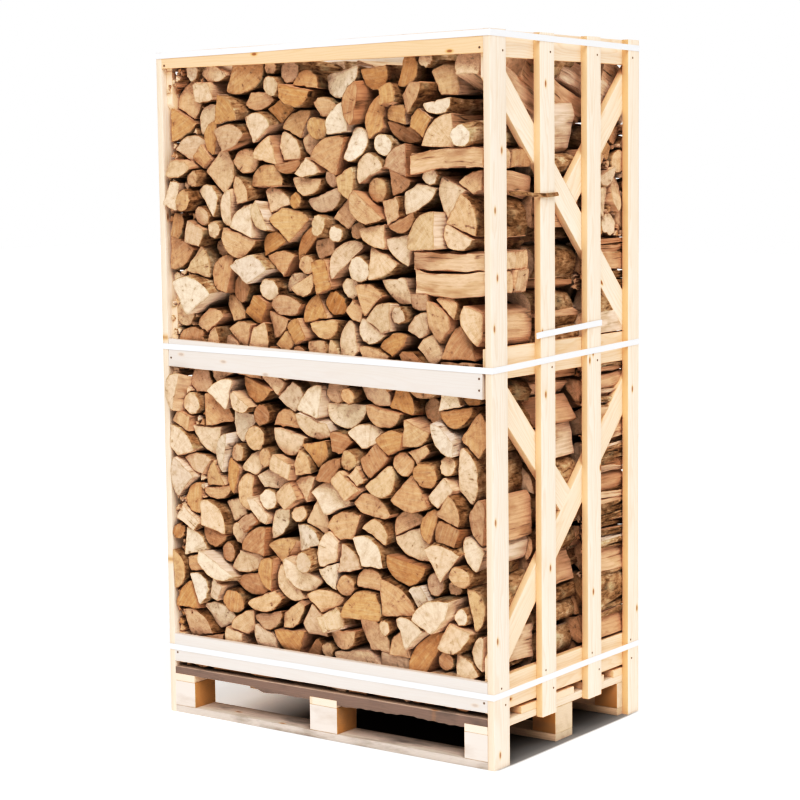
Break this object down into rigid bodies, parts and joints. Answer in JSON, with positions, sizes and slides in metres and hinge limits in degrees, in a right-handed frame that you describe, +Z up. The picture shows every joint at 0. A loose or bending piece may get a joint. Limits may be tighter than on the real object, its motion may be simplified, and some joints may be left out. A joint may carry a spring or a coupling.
{
  "type": "firewood pallet crate",
  "caption": "Pallet crate of stacked split firewood: slatted side panels, cross rails and plastic straps around rows of short logs on a flat pallet.",
  "frame": {"origin": "on the ground at the centre of the crate's footprint", "axes": "+Z up, +X to the right along the long front face, +Y from the front face to the back"},
  "size_m": [1.2048, 0.803, 2.03],
  "materials": {
    "sawn_pine": "rough-sawn pale softwood",
    "pallet_wood": "rough-sawn softwood, slightly greyed",
    "split_firewood": "split and sawn hardwood with bark",
    "strap_plastic": "smooth white strapping band",
    "bark": "rough bark"
  },
  "bodies": {
    "root": {"back_rail_bottom": "sawn_pine", "back_rail_middle": "sawn_pine", "back_rail_top": "sawn_pine", "bark_sliver": "bark", "brace_left_lower_long": "sawn_pine", "brace_left_lower_short": "sawn_pine", "brace_left_upper_long": "sawn_pine", "brace_left_upper_short": "sawn_pine", "brace_right_lower_long": "sawn_pine", "brace_right_lower_short": "sawn_pine", "brace_right_upper_long": "sawn_pine", "brace_right_upper_short": "sawn_pine", "front_rail_bottom": "sawn_pine", "front_rail_middle": "sawn_pine", "front_rail_top": "sawn_pine", "log_row_back": "split_firewood", "log_row_front": "split_firewood", "log_row_middle": "split_firewood", "pallet_block_back_left": "pallet_wood", "pallet_block_back_middle": "pallet_wood", "pallet_block_back_right": "pallet_wood", "pallet_block_front_left": "pallet_wood", "pallet_block_front_middle": "pallet_wood", "pallet_block_front_right": "pallet_wood", "pallet_block_middle_left": "pallet_wood", "pallet_block_middle_middle": "pallet_wood", "pallet_block_middle_right": "pallet_wood", "pallet_deck_board_1": "pallet_wood", "pallet_deck_board_2": "pallet_wood", "pallet_deck_board_3": "pallet_wood", "pallet_deck_board_4": "pallet_wood", "pallet_deck_board_5": "pallet_wood", "pallet_runner_back": "pallet_wood", "pallet_runner_front": "pallet_wood", "pallet_runner_middle": "pallet_wood", "pallet_stringer_left": "pallet_wood", "pallet_stringer_middle": "pallet_wood", "pallet_stringer_right": "pallet_wood", "post_left_back": "sawn_pine", "post_left_front": "sawn_pine", "post_right_back": "sawn_pine", "post_right_front": "sawn_pine", "side_rail_left_bottom": "sawn_pine", "side_rail_left_middle": "sawn_pine", "side_rail_left_top": "sawn_pine", "side_rail_right_bottom": "sawn_pine", "side_rail_right_middle": "sawn_pine", "side_rail_right_top": "sawn_pine", "slat_left_back": "sawn_pine", "slat_left_front": "sawn_pine", "slat_right_back": "sawn_pine", "slat_right_front": "sawn_pine", "strap_bottom": "strap_plastic", "strap_middle": "strap_plastic", "strap_middle_tail": "strap_plastic", "strap_top": "strap_plastic"}
  },
  "joints": []
}
